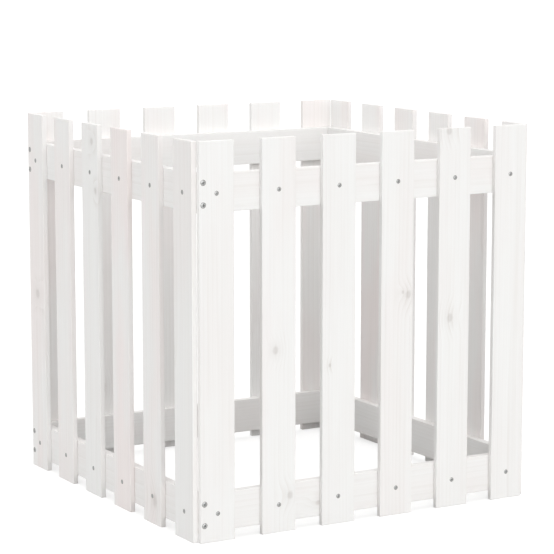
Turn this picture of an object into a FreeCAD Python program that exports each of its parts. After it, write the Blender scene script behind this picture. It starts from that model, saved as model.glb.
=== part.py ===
import FreeCAD, Part
import math
import os
import Sketcher

# A square garden planter of picket boards on two levels of rails, open at the top and at the bottom.
# Four like panels stand round the square, each turned a quarter turn from the one before.
# A panel has a row of pickets, screwed from outside to one top rail and one bottom rail.
# One end of each rail butts on the side of the last panel's rail. The other end butts on the back
# of the next panel's first picket, and two longer screws go through that picket into the end grain.
# The origin is the middle of the square on the ground, +Z is up and the front faces -Y.

# Driving sizes in millimetres: alias, value and what it measures.
SIZES = [
    ("overall_width", "600", "outer face to outer face of opposite panels, both ways"),
    ("picket_height", "600", "length of a picket, from the ground up"),
    ("picket_width", "58", "width of a picket board"),
    ("picket_thickness", "8", "thickness of a picket board"),
    ("pickets_per_panel", "6", "number of pickets in one panel"),
    ("corner_clearance", "0.3", "end of a row of pickets to the next row's inner plane"),
    ("rail_width", "58", "width of a rail board, which stands on edge"),
    ("rail_thickness", "14", "thickness of a rail board"),
    ("bottom_rail_rise", "14", "ground to the underside of a bottom rail"),
    ("top_rail_drop", "48", "top of the pickets down to the top of a top rail"),
    ("long_edge_radius", "0.6", "eased long edges of pickets and rails"),
    ("end_edge_chamfer", "0.4", "broken edges round both ends of a picket"),
    ("picket_screw_diameter", "3", "shank of the screw that holds a picket to a rail"),
    ("picket_screw_head", "6", "head diameter"),
    ("picket_screw_length", "20", "outer face of the picket to the screw's point"),
    ("picket_screw_point", "3", "length of the pointed end"),
    ("picket_screw_dome", "0.5", "how far the domed head stands proud"),
    ("picket_screw_recess", "3.2", "tip to tip of the cross recess in the head"),
    ("picket_screw_slot", "0.8", "width of one slot of the recess"),
    ("picket_screw_recess_depth", "1.4", "top of the head down to the floor of the recess"),
    ("corner_screw_diameter", "4", "shank of the screw that goes into a rail's end grain"),
    ("corner_screw_head", "8", "head diameter"),
    ("corner_screw_length", "45", "outer face of the picket to the screw's point"),
    ("corner_screw_point", "4", "length of the pointed end"),
    ("corner_screw_dome", "0.6", "how far the domed head stands proud"),
    ("corner_screw_recess", "4.4", "tip to tip of the cross recess in the head"),
    ("corner_screw_slot", "1.1", "width of one slot of the recess"),
    ("corner_screw_recess_depth", "1.8", "top of the head down to the floor of the recess"),
    ("corner_screw_spacing", "33", "height from one corner screw to the other in the same rail"),
    ("screw_clearance", "0.1", "gap all round a screw in its hole"),
]

# The panels, each a quarter turn anticlockwise from the one before, seen from above.
PANELS = ["front", "right", "back", "left"]
QUARTER_TURN_DEGREES = 90
FULL_TURN_DEGREES = 360

# A rail's end takes one screw below its middle and one above.
SCREW_SIDES = "-+"
HEAD_ANGLE_DEGREES = 90

# Closer than this, two lengths, directions or volumes count as the same.
SAME = 1e-6

# Each kind of screw is named by the start of its aliases.
PICKET_SCREW = "picket_screw"
CORNER_SCREW = "corner_screw"

# Places along a panel, from the square's corner at the panel's left end as seen from outside.
FIRST_PICKET = "(Sizes.picket_thickness + Sizes.corner_clearance)"
PITCH = f"((Sizes.overall_width - 2 * {FIRST_PICKET} - Sizes.picket_width) / (Sizes.pickets_per_panel - 1))"
RAIL_START = "(Sizes.picket_thickness + Sizes.rail_thickness)"
RAIL_LENGTH = f"(Sizes.overall_width - Sizes.picket_thickness - {RAIL_START})"
END_GRAIN_MIDDLE = "(Sizes.picket_thickness + Sizes.rail_thickness / 2)"

# Heights above the ground.
RAIL_BASES = {
    "top": "(Sizes.picket_height - Sizes.top_rail_drop - Sizes.rail_width)",
    "bottom": "Sizes.bottom_rail_rise",
}
RAIL_MIDDLES = {level: f"({base} + Sizes.rail_width / 2)" for level, base in RAIL_BASES.items()}
HALF_SCREW_SPACING = "Sizes.corner_screw_spacing / 2"


def make_sheet(doc):
    """Writes the driving sizes into a sheet and names each cell."""
    sheet = doc.addObject("Spreadsheet::Sheet", "Sizes")
    for row, (alias, value, meaning) in enumerate(SIZES, start=1):
        sheet.set(f"A{row}", alias)
        sheet.set(f"B{row}", value)
        sheet.set(f"C{row}", meaning)
        sheet.setAlias(f"B{row}", alias)
    doc.recompute()
    return sheet


def origin_item(body, role):
    """Finds one of a body's own planes or axes."""
    return next(item for item in body.Origin.OriginFeatures if item.Role == role)


def place(piece, turns, along, inward, up):
    """Stands a piece in its panel: along the panel, inward from its outer face, and up."""
    angle = turns * QUARTER_TURN_DEGREES
    piece.Placement = FreeCAD.Placement(FreeCAD.Vector(), FreeCAD.Rotation(FreeCAD.Vector(0, 0, 1), angle))
    cosine, sine = f"cos({angle} deg)", f"sin({angle} deg)"
    across = f"({along} - Sizes.overall_width / 2)"
    deep = f"({inward} - Sizes.overall_width / 2)"
    piece.setExpression("Placement.Base.x", f"{cosine} * {across} - {sine} * {deep}")
    piece.setExpression("Placement.Base.y", f"{sine} * {across} + {cosine} * {deep}")
    piece.setExpression("Placement.Base.z", up)


def new_body(doc, name):
    body = doc.addObject("PartDesign::Body", name)
    body.Label = name
    return body


def new_sketch(body, name, role, rise=None):
    """Adds a sketch on one of the body's own planes, moved along the plane's normal if asked."""
    sketch = body.newObject("Sketcher::SketchObject", name)
    sketch.AttachmentSupport = (origin_item(body, role), [""])
    sketch.MapMode = "FlatFace"
    if rise:
        sketch.setExpression("AttachmentOffset.Base.z", rise)
    return sketch


def hold(sketch, name, kind, places, expression):
    """Adds a dimension to a sketch and ties it to the sheet."""
    value = sketch.evalExpression(expression)
    sketch.addConstraint(Sketcher.Constraint(kind, *places, float(value)))
    sketch.renameConstraint(sketch.ConstraintCount - 1, name)
    sketch.setExpression(f"Constraints.{name}", expression)


def add_rectangle(sketch, across, up, centred=False):
    """Draws a rectangle with its lower left corner, or its middle, at the sketch's origin."""
    width, height = (float(sketch.evalExpression(size)) for size in (across, up))
    left, low = (-width / 2, -height / 2) if centred else (0, 0)
    corners = [
        FreeCAD.Vector(left, low, 0),
        FreeCAD.Vector(left + width, low, 0),
        FreeCAD.Vector(left + width, low + height, 0),
        FreeCAD.Vector(left, low + height, 0),
    ]
    for start, end in zip(corners, corners[1:] + corners[:1]):
        sketch.addGeometry(Part.LineSegment(start, end))
    for side in range(len(corners)):
        sketch.addConstraint(Sketcher.Constraint("Coincident", side, 2, (side + 1) % len(corners), 1))
        sketch.addConstraint(Sketcher.Constraint("Vertical" if side % 2 else "Horizontal", side))
    if centred:
        sketch.addConstraint(Sketcher.Constraint("Symmetric", 0, 1, 2, 1, -1, 1))
    else:
        sketch.addConstraint(Sketcher.Constraint("Coincident", 0, 1, -1, 1))
    hold(sketch, "across", "DistanceX", (0, 1, 0, 2), across)
    hold(sketch, "up", "DistanceY", (1, 1, 1, 2), up)


def add_circles(sketch, diameter, centres):
    """Draws one circle for each centre, which is a pair of expressions."""
    radius = float(sketch.evalExpression(diameter)) / 2
    for number, (across, up) in enumerate(centres):
        centre = FreeCAD.Vector(float(sketch.evalExpression(across)), float(sketch.evalExpression(up)), 0)
        sketch.addGeometry(Part.Circle(centre, FreeCAD.Vector(0, 0, 1), radius))
        hold(sketch, f"across_{number}", "DistanceX", (-1, 1, number, 3), across)
        hold(sketch, f"up_{number}", "DistanceY", (-1, 1, number, 3), up)
        hold(sketch, f"diameter_{number}", "Diameter", (number,), diameter)


def add_pad(body, sketch, length):
    pad = body.newObject("PartDesign::Pad", "Board")
    pad.Profile = sketch
    pad.setExpression("Length", length)
    return pad


def round_long_edges(doc, body, board, direction):
    """Eases the four edges that run the length of a board."""
    doc.recompute()
    fillet = body.newObject("PartDesign::Fillet", "LongEdges")
    fillet.Base = (board, [
        f"Edge{number}" for number, edge in enumerate(board.Shape.Edges, start=1)
        if edge.Curve.Direction.cross(direction).Length < SAME
    ])
    fillet.setExpression("Radius", "Sizes.long_edge_radius")
    return fillet


def break_end_edges(doc, body, board):
    """Takes the sharp edge off the top and the foot of an upright board."""
    doc.recompute()
    whole = board.Shape.BoundBox
    chamfer = body.newObject("PartDesign::Chamfer", "EndEdges")
    chamfer.Base = (board, [
        f"Edge{number}" for number, edge in enumerate(board.Shape.Edges, start=1)
        if edge.BoundBox.ZMax - whole.ZMin < SAME or whole.ZMax - edge.BoundBox.ZMin < SAME
    ])
    chamfer.setExpression("Size", "Sizes.end_edge_chamfer")
    return chamfer


def hole_diameter(screw):
    return f"(Sizes.{screw}_diameter + 2 * Sizes.screw_clearance)"


def drill_picket(doc, body, screw, centres):
    """Drills through a picket from its outer face, with a countersink for the screw's head."""
    sketch = new_sketch(body, f"{screw}_places", "XZ_Plane")
    add_circles(sketch, hole_diameter(screw), centres)
    doc.recompute()
    hole = body.newObject("PartDesign::Hole", f"{screw}_holes")
    hole.Profile = sketch
    hole.DepthType = "ThroughAll"
    hole.HoleCutType = "Countersink"
    hole.HoleCutCustomValues = True
    hole.HoleCutCountersinkAngle = HEAD_ANGLE_DEGREES
    hole.setExpression("Diameter", hole_diameter(screw))
    hole.setExpression("HoleCutDiameter", f"Sizes.{screw}_head + 2 * Sizes.screw_clearance")


def drill_rail(body, screw, role, centres, rise=None):
    """Drills the blind holes in a rail for one kind of screw."""
    sketch = new_sketch(body, f"{screw}_places", role, rise)
    add_circles(sketch, hole_diameter(screw), centres)
    pocket = body.newObject("PartDesign::Pocket", f"{screw}_holes")
    pocket.Profile = sketch
    pocket.setExpression("Length", f"Sizes.{screw}_length - Sizes.picket_thickness + Sizes.screw_clearance")


def make_picket(doc, panel, turns, number):
    """Makes one upright picket. The first of a panel also takes the screws into the last panel's rails."""
    along = f"({FIRST_PICKET} + {number - 1} * {PITCH})"
    picket = new_body(doc, f"{panel}_picket_{number}")
    place(picket, turns, along, "0", "0")
    outline = new_sketch(picket, "Outline", "XY_Plane")
    add_rectangle(outline, "Sizes.picket_width", "Sizes.picket_thickness")
    board = add_pad(picket, outline, "Sizes.picket_height")
    board = round_long_edges(doc, picket, board, FreeCAD.Vector(0, 0, 1))
    break_end_edges(doc, picket, board)
    middles = [("Sizes.picket_width / 2", middle) for middle in RAIL_MIDDLES.values()]
    drill_picket(doc, picket, PICKET_SCREW, middles)
    if number == 1:
        across = f"{END_GRAIN_MIDDLE} - {FIRST_PICKET}"
        drill_picket(doc, picket, CORNER_SCREW, [
            (across, f"{middle} {side} {HALF_SCREW_SPACING}")
            for middle in RAIL_MIDDLES.values() for side in SCREW_SIDES
        ])
    return picket


def make_rail(doc, panel, turns, level, pickets):
    """Makes one rail, which lies behind its panel's pickets on edge."""
    rail = new_body(doc, f"{panel}_{level}_rail")
    place(rail, turns, RAIL_START, "Sizes.picket_thickness", RAIL_BASES[level])
    outline = new_sketch(rail, "Outline", "YZ_Plane")
    add_rectangle(outline, "Sizes.rail_thickness", "Sizes.rail_width")
    board = add_pad(rail, outline, RAIL_LENGTH)
    round_long_edges(doc, rail, board, FreeCAD.Vector(1, 0, 0))
    middle = "Sizes.rail_width / 2"
    first_middle = f"{FIRST_PICKET} - {RAIL_START} + Sizes.picket_width / 2"
    drill_rail(rail, PICKET_SCREW, "XZ_Plane", [
        (f"{first_middle} + {number} * {PITCH}", middle) for number in range(pickets)
    ])
    drill_rail(rail, CORNER_SCREW, "YZ_Plane", [
        ("Sizes.rail_thickness / 2", f"{middle} {side} {HALF_SCREW_SPACING}") for side in SCREW_SIDES
    ], RAIL_LENGTH)
    return rail


def make_screw(doc, screw):
    """Makes one countersunk screw with a low dome and a cross recess. Its point looks along +Y."""
    body = new_body(doc, screw)
    profile = new_sketch(body, "Profile", "XY_Plane")
    shank_radius = f"Sizes.{screw}_diameter / 2"
    head_radius = f"Sizes.{screw}_head / 2"
    head_depth = f"({head_radius} - {shank_radius}) / tan({HEAD_ANGLE_DEGREES} deg / 2)"
    shank_end = f"Sizes.{screw}_length - Sizes.{screw}_point"
    head, shank, neck, shoulder, point, dome = (
        float(profile.evalExpression(text)) for text in (
            head_radius, shank_radius, head_depth, shank_end, f"Sizes.{screw}_length", f"Sizes.{screw}_dome")
    )
    corners = [(head, 0), (shank, neck), (shank, shoulder), (0, point), (0, -dome)]
    for start, end in zip(corners, corners[1:]):
        profile.addGeometry(Part.LineSegment(FreeCAD.Vector(*start, 0), FreeCAD.Vector(*end, 0)))
    dome_radius = (head ** 2 + dome ** 2) / (2 * dome)
    dome_circle = Part.Circle(FreeCAD.Vector(0, dome_radius - dome, 0), FreeCAD.Vector(0, 0, 1), dome_radius)
    crown_angle = -math.pi / 2
    rim_angle = crown_angle + math.asin(head / dome_radius)
    profile.addGeometry(Part.ArcOfCircle(dome_circle, crown_angle, rim_angle))

    sides = profile.GeometryCount
    for side in range(sides):
        profile.addConstraint(Sketcher.Constraint("Coincident", side, 2, (side + 1) % sides, 1))
    profile.addConstraint(Sketcher.Constraint("PointOnObject", 0, 1, -1))
    for line, end in ((3, 1), (3, 2), (4, 3)):
        profile.addConstraint(Sketcher.Constraint("PointOnObject", line, end, -2))
    profile.addConstraint(Sketcher.Constraint("Vertical", 1))
    hold(profile, "head_radius", "DistanceX", (-1, 1, 0, 1), head_radius)
    hold(profile, "shank_radius", "DistanceX", (-1, 1, 1, 1), shank_radius)
    hold(profile, "head_depth", "DistanceY", (-1, 1, 1, 1), head_depth)
    hold(profile, "shank_end", "DistanceY", (-1, 1, 2, 1), shank_end)
    hold(profile, "length", "DistanceY", (-1, 1, 3, 1), f"Sizes.{screw}_length")
    hold(profile, "dome", "DistanceY", (3, 2, -1, 1), f"Sizes.{screw}_dome")

    turned = body.newObject("PartDesign::Revolution", "Turned")
    turned.Profile = profile
    turned.ReferenceAxis = (profile, ["V_Axis"])
    turned.Angle = FULL_TURN_DEGREES
    slot_sizes = [f"Sizes.{screw}_recess", f"Sizes.{screw}_slot"]
    for across, up in (slot_sizes, slot_sizes[::-1]):
        outline = new_sketch(body, "Slot", "XZ_Plane", f"Sizes.{screw}_dome")
        add_rectangle(outline, across, up, centred=True)
        slot = body.newObject("PartDesign::Pocket", "Recess")
        slot.Profile = outline
        slot.setExpression("Length", f"Sizes.{screw}_recess_depth")
    return body


def make_screw_group(doc, name, screw, steps):
    """Makes a group of like screws from one screw. Each step is a pair of expressions, across and up."""
    group = doc.addObject("Part::Compound", name)
    group.Label = name
    copies = []
    for across, up in steps:
        copy = doc.addObject("App::Link", f"{name}_copy")
        copy.LinkedObject = screw
        copy.LinkTransform = True
        copy.setExpression("Placement.Base.x", across)
        copy.setExpression("Placement.Base.z", up)
        copies.append(copy)
    group.Links = copies
    return group


def make_picket_screws(doc, panel, turns, screw, count):
    """Makes the screws that hold one panel's pickets to its two rails."""
    steps = [(f"{number} * {PITCH}", middle) for number in range(count) for middle in RAIL_MIDDLES.values()]
    screws = make_screw_group(doc, f"{panel}_picket_screws", screw, steps)
    place(screws, turns, f"{FIRST_PICKET} + Sizes.picket_width / 2", "0", "0")
    return screws


def make_corner_screws(doc, panel, turns, screw):
    """Makes the screws that hold one panel's first picket to the ends of the last panel's rails."""
    steps = [
        ("0", f"{middle} {side} {HALF_SCREW_SPACING}")
        for middle in RAIL_MIDDLES.values() for side in SCREW_SIDES
    ]
    screws = make_screw_group(doc, f"{panel}_corner_screws", screw, steps)
    place(screws, turns, END_GRAIN_MIDDLE, "0", "0")
    return screws


def check_pieces(doc, pieces):
    """Stops if a feature failed, a cut removed nothing or a piece isn't as many solids as it should be."""
    for item in doc.Objects:
        if "Invalid" in item.State or "Error" in item.State:
            raise RuntimeError(f"{item.Label} of the model failed: {item.State}")
        if item.TypeId in ("PartDesign::Pocket", "PartDesign::Hole"):
            if item.BaseFeature.Shape.Volume - item.Shape.Volume < SAME:
                raise RuntimeError(f"{item.Label} cuts nothing")
    for piece, solids in pieces:
        if piece.Shape.isNull() or not piece.Shape.isValid() or len(piece.Shape.Solids) != solids:
            raise RuntimeError(f"{piece.Label} isn't {solids} valid solids")


def main():
    doc = FreeCAD.newDocument("Planter")
    count = int(make_sheet(doc).get("pickets_per_panel"))
    picket_screw = make_screw(doc, PICKET_SCREW)
    corner_screw = make_screw(doc, CORNER_SCREW)
    pieces = []
    for turns, panel in enumerate(PANELS):
        for number in range(1, count + 1):
            pieces.append((make_picket(doc, panel, turns, number), 1))
        for level in RAIL_BASES:
            pieces.append((make_rail(doc, panel, turns, level, count), 1))
        picket_screws = make_picket_screws(doc, panel, turns, picket_screw, count)
        pieces.append((picket_screws, count * len(RAIL_BASES)))
        corner_screws = make_corner_screws(doc, panel, turns, corner_screw)
        pieces.append((corner_screws, len(SCREW_SIDES) * len(RAIL_BASES)))
    doc.recompute()
    check_pieces(doc, pieces)
    os.makedirs("parts", exist_ok=True)
    for piece, solids in pieces:
        piece.Shape.exportStep(f"parts/{piece.Label}.step")
        print(piece.Label, solids, round(piece.Shape.Volume, 1))


main()
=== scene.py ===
import math
from collections import namedtuple

import bpy
from bpy.props import FloatProperty, FloatVectorProperty, IntProperty, PointerProperty
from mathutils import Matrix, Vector


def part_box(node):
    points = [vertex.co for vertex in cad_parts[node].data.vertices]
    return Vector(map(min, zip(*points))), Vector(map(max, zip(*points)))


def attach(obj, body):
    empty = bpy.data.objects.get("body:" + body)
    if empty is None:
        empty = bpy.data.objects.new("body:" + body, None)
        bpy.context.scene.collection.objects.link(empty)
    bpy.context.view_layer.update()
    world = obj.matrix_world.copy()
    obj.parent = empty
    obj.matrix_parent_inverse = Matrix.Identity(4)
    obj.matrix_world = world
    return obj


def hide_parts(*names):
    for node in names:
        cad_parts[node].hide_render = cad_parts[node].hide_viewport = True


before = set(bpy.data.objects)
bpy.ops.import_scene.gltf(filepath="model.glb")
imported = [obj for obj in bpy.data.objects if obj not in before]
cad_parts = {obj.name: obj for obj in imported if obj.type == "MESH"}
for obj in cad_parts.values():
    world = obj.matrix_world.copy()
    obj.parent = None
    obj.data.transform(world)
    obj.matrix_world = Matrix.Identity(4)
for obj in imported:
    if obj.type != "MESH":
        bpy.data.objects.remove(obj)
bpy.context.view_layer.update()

# A square planter of white picket boards, screwed to rails, open at the top and at the bottom.
# Every CAD node is replaced by a dressed piece that is named for it and stands in its place.
# Four like panels stand round the square. All is laid out in the front panel's place, and each
# panel is that layout turned about the middle of the square.
# Metres, with the ground at z = 0 and the front facing -Y.

bl_info = {
    "name": "Picket planter",
    "version": (1, 0, 0),
    "blender": (4, 5, 0),
    "location": "3D View > Sidebar > Planter",
    "description": "Builds a square planter of white picket boards and its studio",
    "category": "Add Mesh",
}

MM = 0.001

PANELS = ("front", "right", "back", "left")
QUARTER_TURN = math.pi / 2
PICKETS = range(1, 7)
RAILS = ("top_rail", "bottom_rail")


def node_size(node):
    """Width, depth and height of a CAD node's box."""
    low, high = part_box(node)
    return high - low


def node_middle(node):
    """Middle of a CAD node's box."""
    low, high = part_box(node)
    return (low + high) / 2


PICKET_SIZE = node_size("front_picket_2")
RAIL_SIZE = node_size("front_top_rail")
FACE_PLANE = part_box("front_picket_2")[0].y

# Boards whose grain shows a knot in the finish: panel and board, then each knot's place across and
# along the board from the board's middle, and its radius, in millimetres. The front and left
# pickets' knots are where the real boards have them.
KNOTS = {
    "front_picket_2": [(-6, -19, 4.5), (19, -244, 4.5)],
    "front_picket_3": [(-16, -51, 2.2)],
    "front_picket_4": [(20, 46, 4.5), (10, 51, 2)],
    "front_picket_5": [(-7, 3, 5), (-12, 296, 4.5)],
    "left_picket_1": [(1, -1, 6)],
    "left_picket_3": [(8, 272, 4.5), (20, 195, 4)],
    "left_picket_5": [(8, -262, 7)],
    "right_picket_3": [(-9, 120, 5)],
    "right_picket_6": [(12, -130, 4)],
    "back_picket_2": [(-14, 60, 5)],
    "back_picket_5": [(10, -180, 6), (-6, 210, 4)],
    "front_bottom_rail": [(8, -90, 4)],
    "left_top_rail": [(-10, 130, 4)],
}
# Where a missing knot is put: far off the board, and small
NO_KNOT = Vector((1.0, 1.0, MM))
# How much of the pinkish tone each picket has, from 0 to 1, in panel order from picket 1 to 6.
BLUSH = {
    "front": (0.15, 0.2, 0.05, 0.2, 0.1, 0.1),
    "right": (0.3, 0.5, 0.2, 0.4, 0.6, 0.3),
    "back": (0.4, 0.2, 0.5, 0.3, 0.25, 0.45),
    "left": (0.5, 0.35, 0.1, 0.65, 0.45, 0.2),
}
RAIL_BLUSH = 0.2

# A screw hole: the middle of its mouth, its radius, its depth, the radius of its countersink or 0,
# and the way out of it, all in the board's own frame
Hole = namedtuple("Hole", "mouth radius depth head_radius way_out")
OUT_OF_FACE = (0.0, -1.0, 0.0)
OUT_OF_END = (0.0, 0.0, 1.0)
# Room round and under a screw's shaft in its hole
HOLE_ROOM = 0.1 * MM
HOLE_SIDES = 20
SINK_SIDES = 24
# How far the cutters of the holes and the countersinks start outside the board, as shares of
# their depth
HOLE_PAST = 0.1
SINK_PAST = 0.2

# A screw's thread: its core and its pitch as shares of its diameter
CORE_SHARE = 0.72
PITCH_SHARE = 0.45
SCREW_SIDES = 24
DOME_RINGS = 4
RINGS_A_TURN = 4
# Each slot of the cross recess, and its depth, as shares of the head's diameter. The slots of one
# screw after another are turned by steps of this angle.
SLOT_LONG, SLOT_WIDE, SLOT_DEPTH = 0.55, 0.13, 0.25
SLOT_TURN = 1.7

# Points nearer than these are made one: where the parts of a screw meet, and in the slivers that
# a cutter leaves
PARTS_GAP = 0.02 * MM
SLIVER_GAP = 0.002 * MM
# Edges whose faces meet at more than this many degrees are kept sharp
SHARP_ANGLE = 30
# How far apart the nodes of a tree are drawn
NODE_STEP = 170

# The soft lamps: name, the setting of its level, where its light comes from, and how wide it is
# in degrees
LAMPS = (
    ("key_lamp", "key_level", (-0.09, -1.0, 0.1), 62),
    ("fill_lamp", "fill_level", (-1.0, 0.12, 0.1), 40),
    ("top_lamp", "top_level", (0.0, 0.0, 1.0), 40),
)
WHITE = (1.0, 1.0, 1.0, 1.0)
FLOOR_REACH = 60.0
# What is added to the lit floor where it is seen, to bring it to white
FLOOR_LIFT = 0.66

# The photograph's view: from the left of the front, a little above the planter
CAMERA_PLACE = Vector((-1826.0, -3183.6, 906.3)) * MM
CAMERA_DOWN = 8.785
CAMERA_HEADING = -30.0
CAMERA_LENS = 147.1
CAMERA_SENSOR = 36.0
CAMERA_REACH = 200.0


def linear(colour):
    """Linear red, green and blue of an sRGB colour written as six hex digits."""
    parts = [int(colour[i:i + 2], 16) / 255 for i in (0, 2, 4)]
    return [p / 12.92 if p <= 0.04045 else ((p + 0.055) / 1.055) ** 2.4 for p in parts]


def length(name, description, default):
    """A length in metres, shown in the scene's unit."""
    return FloatProperty(
        name=name, description=description, default=default, min=0.0,
        subtype="DISTANCE", unit="LENGTH", precision=4,
    )


def colour(name, description, default):
    """A colour, its default given as six hex digits."""
    return FloatVectorProperty(
        name=name, description=description, default=linear(default),
        size=3, subtype="COLOR", min=0.0, max=1.0,
    )


def share(name, description, default):
    """A number from 0 to 1."""
    return FloatProperty(
        name=name, description=description, default=default, min=0.0, max=1.0, subtype="FACTOR"
    )


def level(name, description, default):
    """A level of light, where 1 shows a white surface as white."""
    return FloatProperty(name=name, description=description, default=default, min=0.0)


class PLANTER_PG_boards(bpy.types.PropertyGroup):
    """Sizes of the boards."""

    picket_width: length("Picket width", "Width of a picket board", PICKET_SIZE.x)
    picket_thickness: length("Picket thickness", "Thickness of a picket board", PICKET_SIZE.y)
    picket_height: length("Picket height", "Length of a picket board", PICKET_SIZE.z)
    rail_length: length("Rail length", "Length of a rail board", RAIL_SIZE.x)
    rail_thickness: length("Rail thickness", "Thickness of a rail board", RAIL_SIZE.y)
    rail_width: length("Rail width", "Width of a rail board, on edge", RAIL_SIZE.z)
    edge_radius: length("Edge radius", "Rounding of the long edges", 0.6 * MM)
    end_radius: length("End rounding", "Rounding of the edges round a board's ends", 0.4 * MM)
    seed: IntProperty(name="Grain seed", description="Picks the grain of the boards", default=7)


class PLANTER_PG_screws(bpy.types.PropertyGroup):
    """Sizes of the two kinds of screw."""

    picket_shank: length("Picket screw", "Thread diameter of a picket screw", 3 * MM)
    picket_head: length("Picket screw head", "Head diameter of a picket screw", 6 * MM)
    picket_length: length("Picket screw length", "Face of the picket to the point", 20 * MM)
    picket_dome: length("Picket screw dome", "How far the head stands proud", 0.5 * MM)
    corner_shank: length("Corner screw", "Thread diameter of a corner screw", 4 * MM)
    corner_head: length("Corner screw head", "Head diameter of a corner screw", 8 * MM)
    corner_length: length("Corner screw length", "Face of the picket to the point", 45 * MM)
    corner_dome: length("Corner screw dome", "How far the head stands proud", 0.6 * MM)
    corner_spacing: length("Corner screw spacing", "Height between a rail's two screws", 33 * MM)
    hole_margin: length("Hole margin", "Room round a head in its countersink", 0.5 * MM)


class PLANTER_PG_finish(bpy.types.PropertyGroup):
    """Colours and grain of the finish."""

    paint: colour("White finish", "Colour of the thin white finish", "EEEEED")
    grain: colour("Grain", "Late wood that shows through the finish", "CEC7C0")
    blush: colour("Blush", "Pinkish tone where the finish is thin", "F3E8E7")
    knot: colour("Knot", "Knot that shows through the finish", "A8A09A")
    # The bare wood round the screw heads is darkened to paint the shade in the countersinks
    bare_wood: colour("Bare wood", "Crushed wood round the screw heads", "7F766C")
    ring_spacing: length("Ring spacing", "From one growth ring to the next", 6.5 * MM)
    grain_strength: share("Grain strength", "How much the rings show", 0.17)
    steel: colour("Steel", "Colour of the zinc plating", "B4B5B4")
    dull_steel: colour("Dull steel", "Darker patches of the zinc plating", "7A7B7B")


class PLANTER_PG_studio(bpy.types.PropertyGroup):
    """Light and floor."""

    sky_level: level("Sky level", "Soft light from all round", 0.82)
    key_level: level("Key level", "Soft light from the front", 0.64)
    fill_level: level("Fill level", "Soft light from the left", 0.25)
    top_level: level("Top level", "Soft light from above", 0.27)
    floor: colour("Floor", "Colour of the floor", "ACACAB")


class PLANTER_PG_settings(bpy.types.PropertyGroup):
    """All the planter's settings."""

    boards: PointerProperty(type=PLANTER_PG_boards)
    screws: PointerProperty(type=PLANTER_PG_screws)
    finish: PointerProperty(type=PLANTER_PG_finish)
    studio: PointerProperty(type=PLANTER_PG_studio)


def add(tree, kind, inputs=None, settings=None, output=0):
    """Adds a node with its settings and links, and gives one of its outputs.

    An input is a socket to link from, a list of such sockets, or a plain value.
    """
    node = tree.nodes.new(kind)
    node.location.x = NODE_STEP * len(tree.nodes)
    for name, value in (settings or {}).items():
        setattr(node, name, value)
    for key, value in (inputs or {}).items():
        sources = value if isinstance(value, list) else [value]
        for source in sources:
            if isinstance(source, bpy.types.NodeSocket):
                tree.links.new(source, node.inputs[key])
            else:
                node.inputs[key].default_value = source
    return node.outputs[output] if node.outputs else node


def new_tree(name, sockets):
    """A Geometry Nodes tree that takes a mesh and the named inputs, and its input sockets."""
    tree = bpy.data.node_groups.new(name, "GeometryNodeTree")
    tree.interface.new_socket("Geometry", in_out="OUTPUT", socket_type="NodeSocketGeometry")
    tree.interface.new_socket("Geometry", in_out="INPUT", socket_type="NodeSocketGeometry")
    for socket, kind in sockets.items():
        tree.interface.new_socket(socket, in_out="INPUT", socket_type="NodeSocket" + kind)
    return tree, tree.nodes.new("NodeGroupInput").outputs


def smooth_shading(tree, mesh):
    """Shades a mesh smooth, with its sharp edges kept sharp."""
    smooth = add(tree, "GeometryNodeSetShadeSmooth", {0: mesh, 2: True})
    angle = add(tree, "GeometryNodeInputMeshEdgeAngle")
    sharp = add(tree, "FunctionNodeCompare", {0: angle, 1: math.radians(SHARP_ANGLE)})
    return add(
        tree, "GeometryNodeSetShadeSmooth", {0: smooth, 1: sharp, 2: False}, {"domain": "EDGE"}
    )


def end_tree(tree, shape, turn, material):
    """Turns the shape to its panel's side and makes it one real mesh with its material."""
    panel = add(tree, "ShaderNodeCombineXYZ", {2: turn})
    turned = add(tree, "GeometryNodeTransform", {0: shape, 2: panel})
    real = add(tree, "GeometryNodeRealizeInstances", {0: turned})
    dressed = add(tree, "GeometryNodeSetMaterial", {0: real, 2: material})
    add(tree, "NodeGroupOutput", {0: dressed})


def cutter(tree, shape, down, points, inputs):
    """The shape sunk by a distance and put at each point, its faces marked as bare wood with
    painted shade.
    """
    sunk = add(tree, "GeometryNodeTransform", {0: shape, 1: (0, 0, -down)})
    marked = add(tree, "GeometryNodeStoreNamedAttribute", {0: sunk, 2: "board_bare", 3: 1.0},
                 {"domain": "FACE"})
    return add(tree, "GeometryNodeInstanceOnPoints", {0: points, 2: marked, **inputs})


def cut_away(tree, shape, cutters):
    """The shape less the cutters, with the slivers that they leave taken out."""
    cut = add(tree, "GeometryNodeMeshBoolean", {0: shape, 1: cutters}, {"solver": "EXACT"})
    return add(tree, "GeometryNodeMergeByDistance", {0: cut, 2: SLIVER_GAP})


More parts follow.
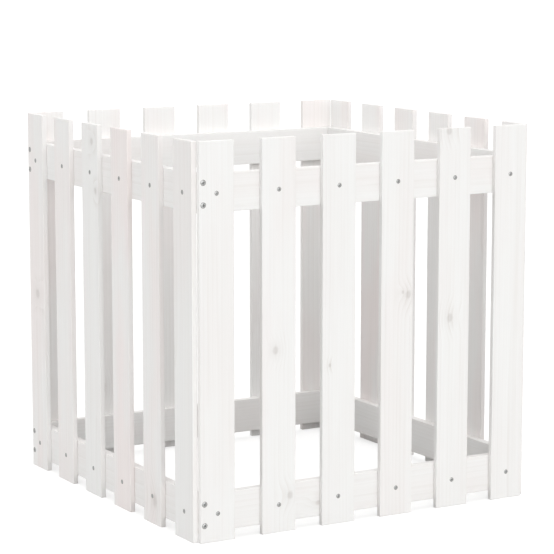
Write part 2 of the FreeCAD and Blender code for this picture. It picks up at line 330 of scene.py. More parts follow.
def board_tree():
    """A board with rounded edges and screw holes, put in its place.

    In its own frame the board's length is along Z, its width along X, and its outer face is
    towards -Y. The input mesh has a point at the mouth of each hole.
    """
    tree, given = new_tree("Board", {
        "Length": "Float", "Width": "Float", "Thickness": "Float",
        "Edge Radius": "Float", "End Radius": "Float",
        "Lay Down": "Float", "Middle": "Vector", "Panel Turn": "Float",
        "Seed": "Int", "Blush": "Float", "Knot 1": "Vector", "Knot 2": "Vector",
        "Material": "Material",
    })

    # Half the board's size, and half the size of the core that the rounding goes round
    full = add(tree, "ShaderNodeCombineXYZ", {
        0: given["Width"], 1: given["Thickness"], 2: given["Length"]})
    half = add(tree, "ShaderNodeVectorMath", {0: full, 1: (0.5,) * 3}, {"operation": "MULTIPLY"})
    rounding = add(tree, "ShaderNodeCombineXYZ", {
        0: given["Edge Radius"], 1: given["Edge Radius"], 2: given["End Radius"]})
    core = add(tree, "ShaderNodeVectorMath", {0: half, 1: rounding}, {"operation": "SUBTRACT"})

    # A cube of points a unit apart. Along each axis the steps out from the middle are a support
    # line near the edge, the start of the rounding, its quarter and its half.
    points_a_side = 8
    support_at, start_at, half_at = 0.5, 1.5, 3.5
    support_gap = 1.5 * MM
    cube = add(tree, "GeometryNodeMeshCube", {
        0: (2 * half_at,) * 3, 1: points_a_side, 2: points_a_side, 3: points_a_side})
    spot = add(tree, "GeometryNodeInputPosition")
    side = add(tree, "ShaderNodeVectorMath", {0: spot}, {"operation": "SIGN"})
    reach = add(tree, "ShaderNodeVectorMath", {0: spot}, {"operation": "ABSOLUTE"})
    parts = []
    supports = []
    for axis in range(3):
        each = add(tree, "ShaderNodeSeparateXYZ", {0: reach}, output=axis)
        angle = add(tree, "ShaderNodeMapRange", {
            0: each, 1: start_at, 2: half_at, 3: 0.0, 4: math.pi / 4})
        parts.append(add(tree, "ShaderNodeMath", {0: angle}, {"operation": "TANGENT"}))
        supports.append(add(tree, "ShaderNodeMapRange", {
            0: each, 1: support_at, 2: start_at, 3: -support_gap, 4: 0.0}))
    outward = add(tree, "ShaderNodeCombineXYZ", dict(enumerate(parts)))
    support = add(tree, "ShaderNodeCombineXYZ", dict(enumerate(supports)))
    outward = add(tree, "ShaderNodeVectorMath", {0: outward}, {"operation": "NORMALIZE"})
    outward = add(
        tree, "ShaderNodeVectorMath", {0: outward, 1: rounding, 2: core},
        {"operation": "MULTIPLY_ADD"})
    corner = add(tree, "ShaderNodeVectorMath", {0: outward, 1: support})
    place = add(tree, "ShaderNodeVectorMath", {0: corner, 1: side}, {"operation": "MULTIPLY"})
    board = add(tree, "GeometryNodeSetPosition", {0: cube, 2: place})

    # A shaft hole at each point, and a countersink where the point has a head radius. The
    # attribute is 1 on their walls and 0 elsewhere; there the material paints bare wood darkened as
    # painted shade.
    radius, depth, head = (
        add(tree, "GeometryNodeInputNamedAttribute", {0: name})
        for name in ("hole_radius", "hole_depth", "hole_head_radius"))
    way_out = add(tree, "GeometryNodeInputNamedAttribute", {0: "hole_way_out"},
                  {"data_type": "FLOAT_VECTOR"})
    turn = add(tree, "FunctionNodeAlignRotationToVector", {2: way_out})
    shaft_size = add(tree, "ShaderNodeCombineXYZ", {0: radius, 1: radius, 2: depth})
    shaft = add(tree, "GeometryNodeMeshCylinder", {0: HOLE_SIDES, 3: 1.0, 4: 1.0 + HOLE_PAST})
    shafts = cutter(
        tree, shaft, (1.0 - HOLE_PAST) / 2, given["Geometry"], {5: turn, 6: shaft_size})
    sink = add(tree, "GeometryNodeMeshCone", {
        0: SINK_SIDES, 3: 1.0 + SINK_PAST, 4: 0.0, 5: 1.0 + SINK_PAST})
    has_head = add(tree, "FunctionNodeCompare", {0: head, 1: 0.0})
    sinks = cutter(tree, sink, 1.0, given["Geometry"], {1: has_head, 5: turn, 6: head})
    drilled = cut_away(tree, board, [shafts, sinks])

    # What the wood's material reads: the place in the board, the pith, the shift and the knots.
    # The pith is up to 90 mm aside of the board's middle and 10 to 50 mm behind it, and the
    # patterns are read up to 3 m off.
    shaded = smooth_shading(tree, drilled)
    aside, near, behind, far = 90 * MM, 10 * MM, 50 * MM, 3.0
    pith = add(tree, "FunctionNodeRandomValue", {
        0: Vector((-aside, near, 0.0)), 1: Vector((aside, behind, 0.0)), "ID": given["Seed"],
        "Seed": 1}, {"data_type": "FLOAT_VECTOR"})
    shift = add(tree, "FunctionNodeRandomValue", {
        0: Vector((-far,) * 3), 1: Vector((far,) * 3), "ID": given["Seed"], "Seed": 2},
        {"data_type": "FLOAT_VECTOR"})
    for name, value, kind in (
        ("board_place", add(tree, "GeometryNodeInputPosition"), "FLOAT_VECTOR"),
        ("board_half", half, "FLOAT_VECTOR"),
        ("board_pith", pith, "FLOAT_VECTOR"),
        ("board_shift", shift, "FLOAT_VECTOR"),
        ("board_knot_1", given["Knot 1"], "FLOAT_VECTOR"),
        ("board_knot_2", given["Knot 2"], "FLOAT_VECTOR"),
        ("board_blush", given["Blush"], "FLOAT"),
    ):
        shaded = add(tree, "GeometryNodeStoreNamedAttribute", {0: shaded, 2: name, 3: value},
                     {"data_type": kind})

    lie = add(tree, "ShaderNodeCombineXYZ", {1: given["Lay Down"]})
    placed = add(tree, "GeometryNodeTransform", {0: shaded, 1: given["Middle"], 2: lie})
    end_tree(tree, placed, given["Panel Turn"], given["Material"])
    return tree


def screw_head(tree, head, dome_height, core, cone_depth):
    """The dome, whose height falls with the square of the radius, and the cone under it."""
    dome = add(tree, "GeometryNodeMeshCone", {
        0: SCREW_SIDES, 1: DOME_RINGS, 3: 0.0, 4: head, 5: dome_height}, {"fill_type": "NONE"})
    spot = add(tree, "GeometryNodeInputPosition")
    out = add(tree, "ShaderNodeVectorMath", {0: spot, 1: (1, 1, 0)}, {"operation": "MULTIPLY"})
    out_length = add(tree, "ShaderNodeVectorMath", {0: out}, {"operation": "LENGTH"}, "Value")
    out_share = add(tree, "ShaderNodeMath", {0: out_length, 1: head}, {"operation": "DIVIDE"})
    fall = add(tree, "ShaderNodeMath", {0: out_share, 1: 2.0}, {"operation": "POWER"})
    rise = add(tree, "ShaderNodeMath", {0: 1.0, 1: fall}, {"operation": "SUBTRACT"})
    height = add(tree, "ShaderNodeMath", {0: rise, 1: dome_height}, {"operation": "MULTIPLY"})
    domed = add(tree, "ShaderNodeCombineXYZ", {2: height})
    domed = add(tree, "ShaderNodeVectorMath", {0: out, 1: domed})
    dome = add(tree, "GeometryNodeSetPosition", {0: dome, 2: domed})

    cone = add(tree, "GeometryNodeMeshCone", {
        0: SCREW_SIDES, 1: 1, 3: head, 4: core, 5: cone_depth}, {"fill_type": "NONE"})
    down = add(tree, "ShaderNodeMath", {0: cone_depth, 1: -1.0}, {"operation": "MULTIPLY"})
    down = add(tree, "ShaderNodeCombineXYZ", {2: down})
    return [dome, add(tree, "GeometryNodeTransform", {0: cone, 1: down})]


def screw_shaft(tree, given, core, thread_length):
    """The threaded shaft and its point, one tube of rings pushed out along a spiral ridge."""
    pitch = add(tree, "ShaderNodeMath", {0: given["Shank"], 1: PITCH_SHARE},
                {"operation": "MULTIPLY"})
    rings = add(tree, "ShaderNodeMath", {0: thread_length, 1: pitch}, {"operation": "DIVIDE"})
    rings = add(tree, "ShaderNodeMath", {0: rings, 1: RINGS_A_TURN}, {"operation": "MULTIPLY"})
    shaft = add(tree, "GeometryNodeMeshCone", {
        0: SCREW_SIDES, 1: rings, 3: core, 4: core, 5: thread_length}, {"fill_type": "NONE"})
    spot = add(tree, "GeometryNodeInputPosition")
    x, y, z = (add(tree, "ShaderNodeSeparateXYZ", {0: spot}, output=axis) for axis in "XYZ")

    # The point is as long as the screw is thick
    taper = add(tree, "ShaderNodeMapRange", {0: z, 1: 0.0, 2: given["Shank"], 3: 0.0, 4: 1.0})

    # The ridge, by how far round and up the spiral a place is, fading out at the last turn
    angle = add(tree, "ShaderNodeMath", {0: y, 1: x}, {"operation": "ARCTAN2"})
    turns = add(tree, "ShaderNodeMath", {0: angle, 1: math.tau}, {"operation": "DIVIDE"})
    rise = add(tree, "ShaderNodeMath", {0: z, 1: pitch}, {"operation": "DIVIDE"})
    phase = add(tree, "ShaderNodeMath", {0: rise, 1: turns}, {"operation": "SUBTRACT"})
    ridge = add(tree, "ShaderNodeMath", {0: phase, 1: 0.5}, {"operation": "PINGPONG"})
    end = add(tree, "ShaderNodeMath", {0: thread_length, 1: pitch}, {"operation": "SUBTRACT"})
    fade = add(tree, "ShaderNodeMapRange", {0: z, 1: end, 2: thread_length, 3: 1.0, 4: 0.0})
    ridge = add(tree, "ShaderNodeMath", {0: ridge, 1: fade}, {"operation": "MULTIPLY"})
    swell = add(tree, "ShaderNodeMapRange", {0: ridge, 1: 0.2, 2: 0.5, 3: 1.0, 4: 1 / CORE_SHARE})

    scale = add(tree, "ShaderNodeMath", {0: swell, 1: taper}, {"operation": "MULTIPLY"})
    scale = add(tree, "ShaderNodeCombineXYZ", {0: scale, 1: scale, 2: 1.0})
    threaded = add(tree, "ShaderNodeVectorMath", {0: spot, 1: scale}, {"operation": "MULTIPLY"})
    shaft = add(tree, "GeometryNodeSetPosition", {0: shaft, 2: threaded})
    down = add(tree, "ShaderNodeMath", {0: given["Length"], 1: -1.0}, {"operation": "MULTIPLY"})
    down = add(tree, "ShaderNodeCombineXYZ", {2: down})
    return add(tree, "GeometryNodeTransform", {0: shaft, 1: down})


def screw_tree():
    """Countersunk wood screws with a low dome and a cross recess, one at each point.

    In its own frame a screw's axis is Z, and its head is level with the board's face at z = 0.
    """
    tree, given = new_tree("Screws", {
        "Head": "Float", "Shank": "Float", "Length": "Float", "Dome": "Float",
        "Panel Turn": "Float", "Material": "Material",
    })

    # The radii of the head, the shank and the thread's core. The head is a right-angled cone.
    head, shank = (
        add(tree, "ShaderNodeMath", {0: given[name], 1: 0.5}, {"operation": "MULTIPLY"})
        for name in ("Head", "Shank"))
    core = add(tree, "ShaderNodeMath", {0: shank, 1: CORE_SHARE}, {"operation": "MULTIPLY"})
    cone_depth = add(tree, "ShaderNodeMath", {0: head, 1: core}, {"operation": "SUBTRACT"})
    thread_length = add(tree, "ShaderNodeMath", {0: given["Length"], 1: cone_depth},
                        {"operation": "SUBTRACT"})
    parts = screw_head(tree, head, given["Dome"], core, cone_depth)
    parts.append(screw_shaft(tree, given, core, thread_length))
    joined = add(tree, "GeometryNodeJoinGeometry", {0: parts})
    closed = add(tree, "GeometryNodeMergeByDistance", {0: joined, 2: PARTS_GAP})

    # The cross recess
    slots = []
    for wide, narrow in ((SLOT_LONG, SLOT_WIDE), (SLOT_WIDE, SLOT_LONG)):
        size = add(tree, "ShaderNodeCombineXYZ", {0: wide, 1: narrow, 2: 2 * SLOT_DEPTH})
        size = add(tree, "ShaderNodeVectorMath", {0: size, "Scale": given["Head"]},
                   {"operation": "SCALE"})
        slots.append(add(tree, "GeometryNodeMeshCube", {0: size}))
    screw = smooth_shading(tree, cut_away(tree, closed, slots))

    outwards = add(tree, "ShaderNodeCombineXYZ", {0: QUARTER_TURN})
    aside = add(tree, "GeometryNodeInputNamedAttribute", {0: "slot_turn"})
    spin = add(tree, "ShaderNodeCombineXYZ", {2: aside})
    facing = add(tree, "FunctionNodeRotateRotation", {0: outwards, 1: spin},
                 {"rotation_space": "LOCAL"})
    screws = add(tree, "GeometryNodeInstanceOnPoints", {0: given["Geometry"], 2: screw, 5: facing})
    end_tree(tree, screws, given["Panel Turn"], given["Material"])
    return tree


def new_material(name):
    """An empty material and its tree."""
    material = bpy.data.materials.new(name)
    material.use_nodes = True
    material.node_tree.nodes.clear()
    return material, material.node_tree


def over(tree, below, *layers):
    """Each layer, a share and the colour it lays on, over a colour."""
    for amount, laid_on in layers:
        below = add(tree, "ShaderNodeMix", {0: amount, 6: below, 7: (*laid_on, 1.0)},
                    {"data_type": "RGBA"}, 2)
    return below


def drawn_out(tree, place, across, along, detail):
    """A pattern of patches that are drawn out along the board, by their size each way."""
    stretched = add(tree, "ShaderNodeMapping", {
        0: place, 3: (1 / across, 1 / across, 1 / along)})
    return add(tree, "ShaderNodeTexNoise", {"Vector": stretched, "Scale": 1.0, "Detail": detail})


def round_knot(tree, knot, x, z, ragged):
    """Round one knot: how dark the wood is, how near the knot is, and its pull on the rings.

    The knot is a soft dark spot with a paler heart and a faint halo, a third longer than wide.
    Distances from it are in knot radii.
    """
    width_to_length, raggedness, pull_radii = 0.75, 0.8, 1.8
    # The spot, the halo and the heart: where each one starts, where it is full and how dark it is
    parts = ((1.9, 0.6, 0.4), (4.5, 1.0, 0.07), (1.3, 0.5, -0.14))
    across, along, radius = (
        add(tree, "ShaderNodeSeparateXYZ", {0: knot}, output=axis) for axis in "XYZ")
    dx = add(tree, "ShaderNodeMath", {0: x, 1: across}, {"operation": "SUBTRACT"})
    dz = add(tree, "ShaderNodeMath", {0: z, 1: along}, {"operation": "SUBTRACT"})
    flat = add(tree, "ShaderNodeMath", {0: dz, 1: width_to_length}, {"operation": "MULTIPLY"})
    gap = add(tree, "ShaderNodeCombineXYZ", {0: dx, 1: flat})
    gap = add(tree, "ShaderNodeVectorMath", {0: gap}, {"operation": "LENGTH"}, "Value")
    ratio = add(tree, "ShaderNodeMath", {0: gap, 1: radius}, {"operation": "DIVIDE"})
    rough_ratio = add(tree, "ShaderNodeMath", {0: ragged, 1: raggedness, 2: ratio},
                      {"operation": "MULTIPLY_ADD"})
    spot, halo, heart = (
        add(tree, "ShaderNodeMapRange", {0: rough_ratio, 1: start, 2: full, 3: 0.0, 4: dark},
            {"interpolation_type": "SMOOTHSTEP"})
        for start, full, dark in parts)
    mark = add(tree, "ShaderNodeMath", {0: spot, 1: halo})
    mark = add(tree, "ShaderNodeMath", {0: mark, 1: heart})
    near = add(tree, "ShaderNodeMapRange", {0: ratio, 1: 6.5, 2: 0.7, 3: 0.0, 4: 1.0},
               {"interpolation_type": "SMOOTHSTEP"})
    reach = add(tree, "ShaderNodeMath", {0: radius, 1: pull_radii}, {"operation": "MULTIPLY"})
    pull = add(tree, "ShaderNodeMath", {0: near, 1: reach}, {"operation": "MULTIPLY"})
    return mark, near, pull


def late_wood(tree, place, pith, wood, pull, spacing):
    """From 0 where a growth ring starts to 1 at the sharp dark line where it ends.

    A ring is told by its distance from the pith, which leans by 1 or 2 degrees from the board,
    with a slow wander of up to 14 mm and the pull of the knots.
    """
    radial = add(tree, "ShaderNodeVectorMath", {0: place, 1: pith}, {"operation": "SUBTRACT"})
    lean = add(tree, "ShaderNodeMapping", {0: radial, 2: (0.02, 0.03, 0.0), 3: (1.0, 1.0, 0.0)})
    ring_radius = add(tree, "ShaderNodeVectorMath", {0: lean}, {"operation": "LENGTH"}, "Value")
    wander = drawn_out(tree, wood, 50 * MM, 600 * MM, 3.5)
    wandered = add(tree, "ShaderNodeMath", {0: wander, 1: 14 * MM, 2: ring_radius},
                   {"operation": "MULTIPLY_ADD"})
    wandered = add(tree, "ShaderNodeMath", {0: wandered, 1: pull})
    count = add(tree, "ShaderNodeMath", {0: wandered, 1: spacing}, {"operation": "DIVIDE"})
    part = add(tree, "ShaderNodeMath", {0: count}, {"operation": "FRACT"})
    return add(tree, "ShaderNodeMath", {0: part, 1: 2.0}, {"operation": "POWER"})


def edge_distance(tree, place, half):
    """How far the surface is from the board's nearest edge.

    That is the middle one of the three distances in from the board's faces.
    """
    inside = add(tree, "ShaderNodeVectorMath", {0: place}, {"operation": "ABSOLUTE"})
    inside = add(tree, "ShaderNodeVectorMath", {0: half, 1: inside}, {"operation": "SUBTRACT"})
    a, b, c = (add(tree, "ShaderNodeSeparateXYZ", {0: inside}, output=axis) for axis in "XYZ")
    less = add(tree, "ShaderNodeMath", {0: a, 1: b}, {"operation": "MINIMUM"})
    more = add(tree, "ShaderNodeMath", {0: a, 1: b}, {"operation": "MAXIMUM"})
    more = add(tree, "ShaderNodeMath", {0: more, 1: c}, {"operation": "MINIMUM"})
    return add(tree, "ShaderNodeMath", {0: less, 1: more}, {"operation": "MAXIMUM"})


def wood_material(finish):
    """Planed pine under a thin white stain.

    The stain hides most of the wood: the late wood of the growth rings shows as faint warm lines
    along the board, and more so near a knot. Knots are soft grey spots that the grain flows round,
    and some boards have a pinkish tone. The stain is matt, and thinnest on the rounded edges.
    The walls of the screw holes are bare, crushed wood, painted darker than bare pine as painted
    shade in the countersinks.
    """
    material, tree = new_material("white_stained_pine")
    read = {
        name: add(tree, "ShaderNodeAttribute", {}, {"attribute_name": f"board_{name}"}, "Vector")
        for name in ("place", "half", "pith", "shift", "knot_1", "knot_2")
    }
    blush, bare = (
        add(tree, "ShaderNodeAttribute", {}, {"attribute_name": f"board_{name}"}, "Fac")
        for name in ("blush", "bare"))
    x = add(tree, "ShaderNodeSeparateXYZ", {0: read["place"]}, output="X")
    z = add(tree, "ShaderNodeSeparateXYZ", {0: read["place"]}, output="Z")
    # Where a board's patterns are read, which no two boards share
    wood = add(tree, "ShaderNodeVectorMath", {0: read["place"], 1: read["shift"]})

    # The knots, their outline made ragged by patches of 8 mm
    ragged = add(tree, "ShaderNodeTexNoise", {"Vector": wood, "Scale": 1 / (8 * MM), "Detail": 2.0})
    marks, nears, pulls = zip(*(
        round_knot(tree, read[name], x, z, ragged) for name in ("knot_1", "knot_2")))
    knots = add(tree, "ShaderNodeMath", {0: marks[0], 1: marks[1]}, {"operation": "MAXIMUM"})
    near = add(tree, "ShaderNodeMath", {0: nears[0], 1: nears[1]}, {"operation": "MAXIMUM"})
    pull = add(tree, "ShaderNodeMath", {0: pulls[0], 1: pulls[1]})

    # The rings, each of which shows more or less in bands 11 mm wide
    late = late_wood(tree, read["place"], read["pith"], wood, pull, finish.ring_spacing)
    bands = drawn_out(tree, wood, 11 * MM, 400 * MM, 1.0)
    bands = add(tree, "ShaderNodeMapRange", {0: bands, 1: 0.4, 2: 0.72, 3: 0.15, 4: 1.0})
    rings = add(tree, "ShaderNodeMath", {0: late, 1: bands}, {"operation": "MULTIPLY"})

    # Fibres: streaks 1.8 mm across and 150 mm long, and finer ones 0.5 mm across. The real ones
    # are 0.03 mm across, too fine to show, so they are drawn as the bundles that the eye sees.
    fibre = drawn_out(tree, wood, 1.8 * MM, 150 * MM, 3.0)
    streaks = add(tree, "ShaderNodeMapRange", {0: fibre, 1: 0.35, 2: 0.7, 3: 0.0, 4: 1.0})
    hairs = drawn_out(tree, wood, 0.5 * MM, 30 * MM, 2.0)
    streaks = add(tree, "ShaderNodeMath", {0: hairs, 1: 0.5, 2: streaks},
                  {"operation": "MULTIPLY_ADD"})

    # How much wood shows through the stain: the rings, the fibres and cloudy patches of 60 mm
    clouds = drawn_out(tree, wood, 60 * MM, 250 * MM, 3.0)
    patches = add(tree, "ShaderNodeMapRange", {0: clouds, 1: 0.38, 2: 0.66, 3: 0.1, 4: 1.0},
                  {"interpolation_type": "SMOOTHSTEP"})
    strength = add(tree, "ShaderNodeMath", {0: near, 1: 0.3, 2: finish.grain_strength},
                   {"operation": "MULTIPLY_ADD"})
    shown = add(tree, "ShaderNodeMath", {0: rings, 1: strength}, {"operation": "MULTIPLY"})
    for pattern, weight in ((streaks, 0.07), (patches, 0.06)):
        shown = add(tree, "ShaderNodeMath", {0: pattern, 1: weight, 2: shown},
                    {"operation": "MULTIPLY_ADD"})

    # Where the stain is thin, within 1.6 mm of an edge
    to_edge = edge_distance(tree, read["place"], read["half"])
    thin = add(tree, "ShaderNodeMapRange", {0: to_edge, 1: 1.6 * MM, 2: 0.4 * MM, 3: 0.0, 4: 0.16})
    thinned = add(tree, "ShaderNodeMath", {0: thin, 1: clouds}, {"operation": "MULTIPLY"})

    tone = add(tree, "ShaderNodeMath", {0: patches, 1: blush}, {"operation": "MULTIPLY"})
    # The hole walls are bare wood, darkened as painted shade in the countersinks
    stained = over(tree, (*finish.paint, 1.0), (tone, finish.blush), (shown, finish.grain),
                   (knots, finish.knot), (thinned, finish.grain), (bare, finish.bare_wood))

    # The late wood and the fibres stand a few hundredths of a millimetre proud under the stain
    relief = add(tree, "ShaderNodeMath", {0: late, 1: 0.5, 2: streaks},
                 {"operation": "MULTIPLY_ADD"})
    bump = add(tree, "ShaderNodeBump", {"Strength": 0.35, "Distance": 0.06 * MM, "Height": relief})
    rough = add(tree, "ShaderNodeMapRange", {0: fibre, 1: 0.3, 2: 0.7, 3: 0.52, 4: 0.66})
    surface = add(tree, "ShaderNodeBsdfPrincipled", {
        "Base Color": stained, "Roughness": rough, "Normal": bump, "IOR": 1.5})
    add(tree, "ShaderNodeOutputMaterial", {0: surface})
    return material


def steel_material(finish):
    """Zinc-plated steel, as on cheap countersunk wood screws.

    The plating is a dull neutral grey with darker patches, satin rather than mirror, and a little
    uneven.
    """
    material, tree = new_material("zinc_plated_steel_screw")
    place = add(tree, "ShaderNodeTexCoord", {}, {}, "Object")
    # Plating grain 0.4 mm across; the real crystals are far finer
    grain = add(tree, "ShaderNodeTexNoise", {
        "Vector": place, "Scale": 1 / (0.4 * MM), "Detail": 2.0})
    cloudy = add(tree, "ShaderNodeTexNoise", {
        "Vector": place, "Scale": 1 / (3 * MM), "Detail": 1.0})
    darker = add(tree, "ShaderNodeMapRange", {0: cloudy, 1: 0.35, 2: 0.7, 3: 0.0, 4: 0.5})
    shade = over(tree, (*finish.steel, 1.0), (darker, finish.dull_steel))
    rough = add(tree, "ShaderNodeMapRange", {0: grain, 1: 0.3, 2: 0.7, 3: 0.34, 4: 0.5})
    bump = add(tree, "ShaderNodeBump", {"Strength": 0.2, "Distance": 0.03 * MM, "Height": grain})
    surface = add(tree, "ShaderNodeBsdfPrincipled", {
        "Base Color": shade, "Metallic": 1.0, "Roughness": rough, "Normal": bump})
    add(tree, "ShaderNodeOutputMaterial", {0: surface})
    return material


def once(collection, name, make):
    """The thing of that name, made at the first call."""
    return collection.get(name) or make()


def points_mesh(name, points, attributes):
    """A mesh of loose points that carry the named attributes."""
    mesh = bpy.data.meshes.new(name)
    mesh.from_pydata(points, [], [])
    for attribute, rows in attributes.items():
        vector = isinstance(rows[0], tuple)
        layer = mesh.attributes.new(attribute, "FLOAT_VECTOR" if vector else "FLOAT", "POINT")
        for item, row in zip(layer.data, rows):
            if vector:
                item.vector = row
            else:
                item.value = row
    return mesh


def make_piece(node, tree, points, attributes, values):
    """Runs a tree on the points and puts the finished mesh in the place of a CAD node."""
    mesh = points_mesh(f"{node}_points", points, attributes)
    piece = bpy.data.objects.new(f"{node}_dressed", mesh)
    bpy.context.scene.collection.objects.link(piece)
    modifier = piece.modifiers.new("shape", "NODES")
    modifier.node_group = tree
    inputs = {
        item.name: item.identifier for item in tree.interface.items_tree
        if item.item_type == "SOCKET" and item.in_out == "INPUT"
    }
    for name, value in values.items():
        modifier[inputs[name]] = value
    graph = bpy.context.evaluated_depsgraph_get()
    finished = bpy.data.meshes.new_from_object(
        piece.evaluated_get(graph), preserve_all_data_layers=True, depsgraph=graph)
    piece.modifiers.clear()
    piece.data = finished
    bpy.data.meshes.remove(mesh)
    finished.name = node
    if not finished.polygons:
        raise RuntimeError(f"the tree {tree.name} gave no faces for {node}")
    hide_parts(node)
    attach(piece, "root")


def rail_levels():
    """Heights of the middles of the two rails."""
    return [node_middle(f"front_{rail}").z for rail in RAILS]


def corner_screw_levels(settings):
    """Heights of a panel's corner screws."""
    step = settings.screws.corner_spacing / 2
    return [level_of_rail + side * step for level_of_rail in rail_levels() for side in (-1, 1)]


def make_board(node, settings, size, holes, values):
    """One picket or rail: size is length, width and thickness.

    The seed is the board's own, so that no two boards have the same grain.
    """
    boards = settings.boards
    knots = [Vector(knot) * MM for knot in KNOTS.get(node, [])] + [NO_KNOT] * 2
    values = {
        "Length": size[0], "Width": size[1], "Thickness": size[2],
        "Edge Radius": boards.edge_radius, "End Radius": boards.end_radius,
        "Seed": boards.seed * 100 + sum(map(ord, node)), "Knot 1": knots[0], "Knot 2": knots[1],
        "Material": once(bpy.data.materials, "white_stained_pine",
                         lambda: wood_material(settings.finish)),
        **values,
    }
    tree = once(bpy.data.node_groups, "Board", board_tree)
    attributes = {
        f"hole_{name}": [getattr(hole, name) for hole in holes] for name in Hole._fields[1:]
    }
    make_piece(node, tree, [hole.mouth for hole in holes], attributes, values)


class PLANTER_OT_pickets(bpy.types.Operator):
    """Put the 24 upright pickets in place, with their screw holes"""

    bl_idname = "planter.pickets"
    bl_label = "Pickets"
    bl_options = {"REGISTER", "UNDO"}

    def execute(self, context):
        settings = context.scene.picket_planter
        boards, screws = settings.boards, settings.screws
        face = -boards.picket_thickness / 2
        through = boards.picket_thickness + MM
        corner_x = node_middle("front_corner_screws").x
        for turn, panel in enumerate(PANELS):
            for number in PICKETS:
                middle = node_middle(f"front_picket_{number}")
                kinds = [(middle.x, rail_levels(), screws.picket_shank, screws.picket_head)]
                if number == 1:
                    kinds.append((corner_x, corner_screw_levels(settings),
                                  screws.corner_shank, screws.corner_head))
                holes = [
                    Hole((x - middle.x, face, height - middle.z), shank / 2 + HOLE_ROOM, through,
                         head / 2 + screws.hole_margin, OUT_OF_FACE)
                    for x, heights, shank, head in kinds for height in heights
                ]
                make_board(
                    f"{panel}_picket_{number}", settings,
                    (boards.picket_height, boards.picket_width, boards.picket_thickness), holes,
                    {"Middle": middle, "Lay Down": 0.0, "Panel Turn": turn * QUARTER_TURN,
                     "Blush": BLUSH[panel][number - 1]})
        return {"FINISHED"}


class PLANTER_OT_rails(bpy.types.Operator):
    """Put the 8 rails in place, behind the pickets, with their pilot holes"""

    bl_idname = "planter.rails"
    bl_label = "Rails"
    bl_options = {"REGISTER", "UNDO"}

    def execute(self, context):
        settings = context.scene.picket_planter
        boards, screws = settings.boards, settings.screws
        face = -boards.rail_thickness / 2
        end = boards.rail_length / 2
        picket_depth = screws.picket_length - boards.picket_thickness + HOLE_ROOM
        corner_depth = screws.corner_length - boards.picket_thickness + HOLE_ROOM
        for turn, panel in enumerate(PANELS):
            for rail in RAILS:
                middle = node_middle(f"front_{rail}")
                holes = [
                    Hole((0.0, face, node_middle(f"front_picket_{number}").x - middle.x),
                         screws.picket_shank / 2 + HOLE_ROOM, picket_depth, 0.0, OUT_OF_FACE)
                    for number in PICKETS
                ]
                holes += [
                    Hole((side * screws.corner_spacing / 2, 0.0, end),
                         screws.corner_shank / 2 + HOLE_ROOM, corner_depth, 0.0, OUT_OF_END)
                    for side in (-1, 1)
                ]
                make_board(
                    f"{panel}_{rail}", settings,
                    (boards.rail_length, boards.rail_width, boards.rail_thickness), holes,
                    {"Middle": middle, "Lay Down": QUARTER_TURN,
                     "Panel Turn": turn * QUARTER_TURN, "Blush": RAIL_BLUSH})
        return {"FINISHED"}


def make_screws(settings, kind, x_places, heights):
    """One piece for each panel, of a screw at each x and height."""
    steel = once(bpy.data.materials, "zinc_plated_steel_screw",
                 lambda: steel_material(settings.finish))
    tree = once(bpy.data.node_groups, "Screws", screw_tree)
    points = [(x, FACE_PLANE, height) for x in x_places for height in heights]
    sizes = {
        name: getattr(settings.screws, f"{kind}_{name.lower()}")
        for name in ("Head", "Shank", "Length", "Dome")
    }
    for turn, panel in enumerate(PANELS):
        turns = [SLOT_TURN * (3 * i + 5 * turn) % QUARTER_TURN for i in range(len(points))]
        make_piece(
            f"{panel}_{kind}_screws", tree, points, {"slot_turn": turns},
            {**sizes, "Panel Turn": turn * QUARTER_TURN, "Material": steel})


class PLANTER_OT_picket_screws(bpy.types.Operator):
    """Put a screw through each picket into each of its panel's rails"""

    bl_idname = "planter.picket_screws"
    bl_label = "Picket screws"
    bl_options = {"REGISTER", "UNDO"}

    def execute(self, context):
        settings = context.scene.picket_planter
        places = [node_middle(f"front_picket_{number}").x for number in PICKETS]
        make_screws(settings, "picket", places, rail_levels())
        return {"FINISHED"}


class PLANTER_OT_corner_screws(bpy.types.Operator):
    """Put the longer screws through each first picket into the rails' end grain"""

    bl_idname = "planter.corner_screws"
    bl_label = "Corner screws"
    bl_options = {"REGISTER", "UNDO"}

    def execute(self, context):
        settings = context.scene.picket_planter
        places = [node_middle("front_corner_screws").x]
        make_screws(settings, "corner", places, corner_screw_levels(settings))
        return {"FINISHED"}


def seen_rays(tree):
    """1 for the rays that the eye, a mirror or glass follows, else 0."""
    rays = [
        add(tree, "ShaderNodeLightPath", {}, {}, name)
        for name in ("Is Camera Ray", "Is Glossy Ray", "Is Transmission Ray")
    ]
    either = add(tree, "ShaderNodeMath", {0: rays[0], 1: rays[1]}, {"operation": "MAXIMUM"})
    return add(tree, "ShaderNodeMath", {0: either, 1: rays[2]}, {"operation": "MAXIMUM"})


def add_floor(scene, floor_colour):
    """A wide floor of matt pale paper.

    What the eye sees of it is lifted to white, and the shadow on it stays.
    """
    mesh = bpy.data.meshes.new("floor")
    mesh.from_pydata([
        (x * FLOOR_REACH, y * FLOOR_REACH, 0) for x, y in ((-1, -1), (1, -1), (1, 1), (-1, 1))
    ], [], [(0, 1, 2, 3)])
    floor = bpy.data.objects.new("floor", mesh)
    scene.collection.objects.link(floor)
    material, tree = new_material("matt_paper_floor")
    lift = add(tree, "ShaderNodeMath", {0: seen_rays(tree), 1: FLOOR_LIFT},
               {"operation": "MULTIPLY"})
    paper = add(tree, "ShaderNodeBsdfPrincipled", {
        "Base Color": (*floor_colour, 1.0), "Roughness": 1.0, "Specular IOR Level": 0.0,
        "Emission Color": WHITE, "Emission Strength": lift})
    add(tree, "ShaderNodeOutputMaterial", {0: paper})
    mesh.materials.append(material)


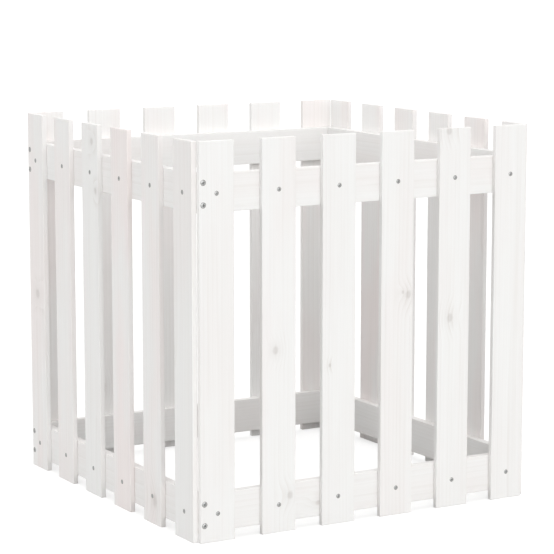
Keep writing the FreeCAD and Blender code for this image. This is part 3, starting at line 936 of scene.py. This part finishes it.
def add_sky(scene, sky_level):
    """White for what the eye sees, and the soft light's level for the rest."""
    world = bpy.data.worlds.new("studio")
    world.use_nodes = True
    tree = world.node_tree
    tree.nodes.clear()
    soft, white = (
        add(tree, "ShaderNodeBackground", {"Color": WHITE, "Strength": strength})
        for strength in (sky_level, 1.0))
    both = add(tree, "ShaderNodeMixShader", {0: seen_rays(tree), 1: soft, 2: white})
    add(tree, "ShaderNodeOutputWorld", {0: both})
    scene.world = world


def add_camera(scene):
    """The camera at the photograph's view, and the plain view of colours."""
    camera = bpy.data.objects.new("camera", bpy.data.cameras.new("camera"))
    camera.data.sensor_width = CAMERA_SENSOR
    camera.data.lens = CAMERA_LENS
    camera.data.clip_end = CAMERA_REACH
    camera.location = CAMERA_PLACE
    camera.rotation_euler = (
        math.radians(90 - CAMERA_DOWN), 0.0, math.radians(CAMERA_HEADING))
    scene.collection.objects.link(camera)
    scene.camera = camera
    scene.view_settings.view_transform = "Standard"


def add_lamp(scene, name, lamp_level, towards, breadth):
    """A soft distant lamp that lights a white surface facing it to the level given."""
    lamp = bpy.data.lights.new(name, "SUN")
    lamp.energy = lamp_level * math.pi
    lamp.angle = math.radians(breadth)
    sun = bpy.data.objects.new(name, lamp)
    sun.rotation_euler = Vector(towards).to_track_quat("Z", "Y").to_euler()
    scene.collection.objects.link(sun)


class PLANTER_OT_stage(bpy.types.Operator):
    """Put the planter on a pale floor, in soft light, before the camera"""

    bl_idname = "planter.stage"
    bl_label = "Stage"
    bl_options = {"REGISTER", "UNDO"}

    def execute(self, context):
        scene = context.scene
        studio = scene.picket_planter.studio
        add_floor(scene, studio.floor)
        add_sky(scene, studio.sky_level)
        for name, setting, towards, breadth in LAMPS:
            add_lamp(scene, name, getattr(studio, setting), towards, breadth)
        add_camera(scene)
        return {"FINISHED"}


class PLANTER_PT_panel(bpy.types.Panel):
    """The planter's settings and its pieces"""

    bl_idname = "PLANTER_PT_panel"
    bl_label = "Picket planter"
    bl_space_type = "VIEW_3D"
    bl_region_type = "UI"
    bl_category = "Planter"

    def draw(self, context):
        settings = context.scene.picket_planter
        for group in (settings.boards, settings.screws, settings.finish, settings.studio):
            box = self.layout.box()
            for name in group.__annotations__:
                box.prop(group, name)
        for operator in OPERATORS:
            self.layout.operator(operator.bl_idname)


OPERATORS = (
    PLANTER_OT_pickets, PLANTER_OT_rails, PLANTER_OT_picket_screws, PLANTER_OT_corner_screws,
    PLANTER_OT_stage,
)
CLASSES = (
    PLANTER_PG_boards, PLANTER_PG_screws, PLANTER_PG_finish, PLANTER_PG_studio,
    PLANTER_PG_settings, *OPERATORS, PLANTER_PT_panel,
)


def register():
    for each in CLASSES:
        bpy.utils.register_class(each)
    bpy.types.Scene.picket_planter = PointerProperty(type=PLANTER_PG_settings)


def unregister():
    del bpy.types.Scene.picket_planter
    for each in reversed(CLASSES):
        bpy.utils.unregister_class(each)


def main():
    register()
    bpy.ops.planter.pickets()
    bpy.ops.planter.rails()
    bpy.ops.planter.picket_screws()
    bpy.ops.planter.corner_screws()
    bpy.ops.planter.stage()


if __name__ == "__main__":
    main()
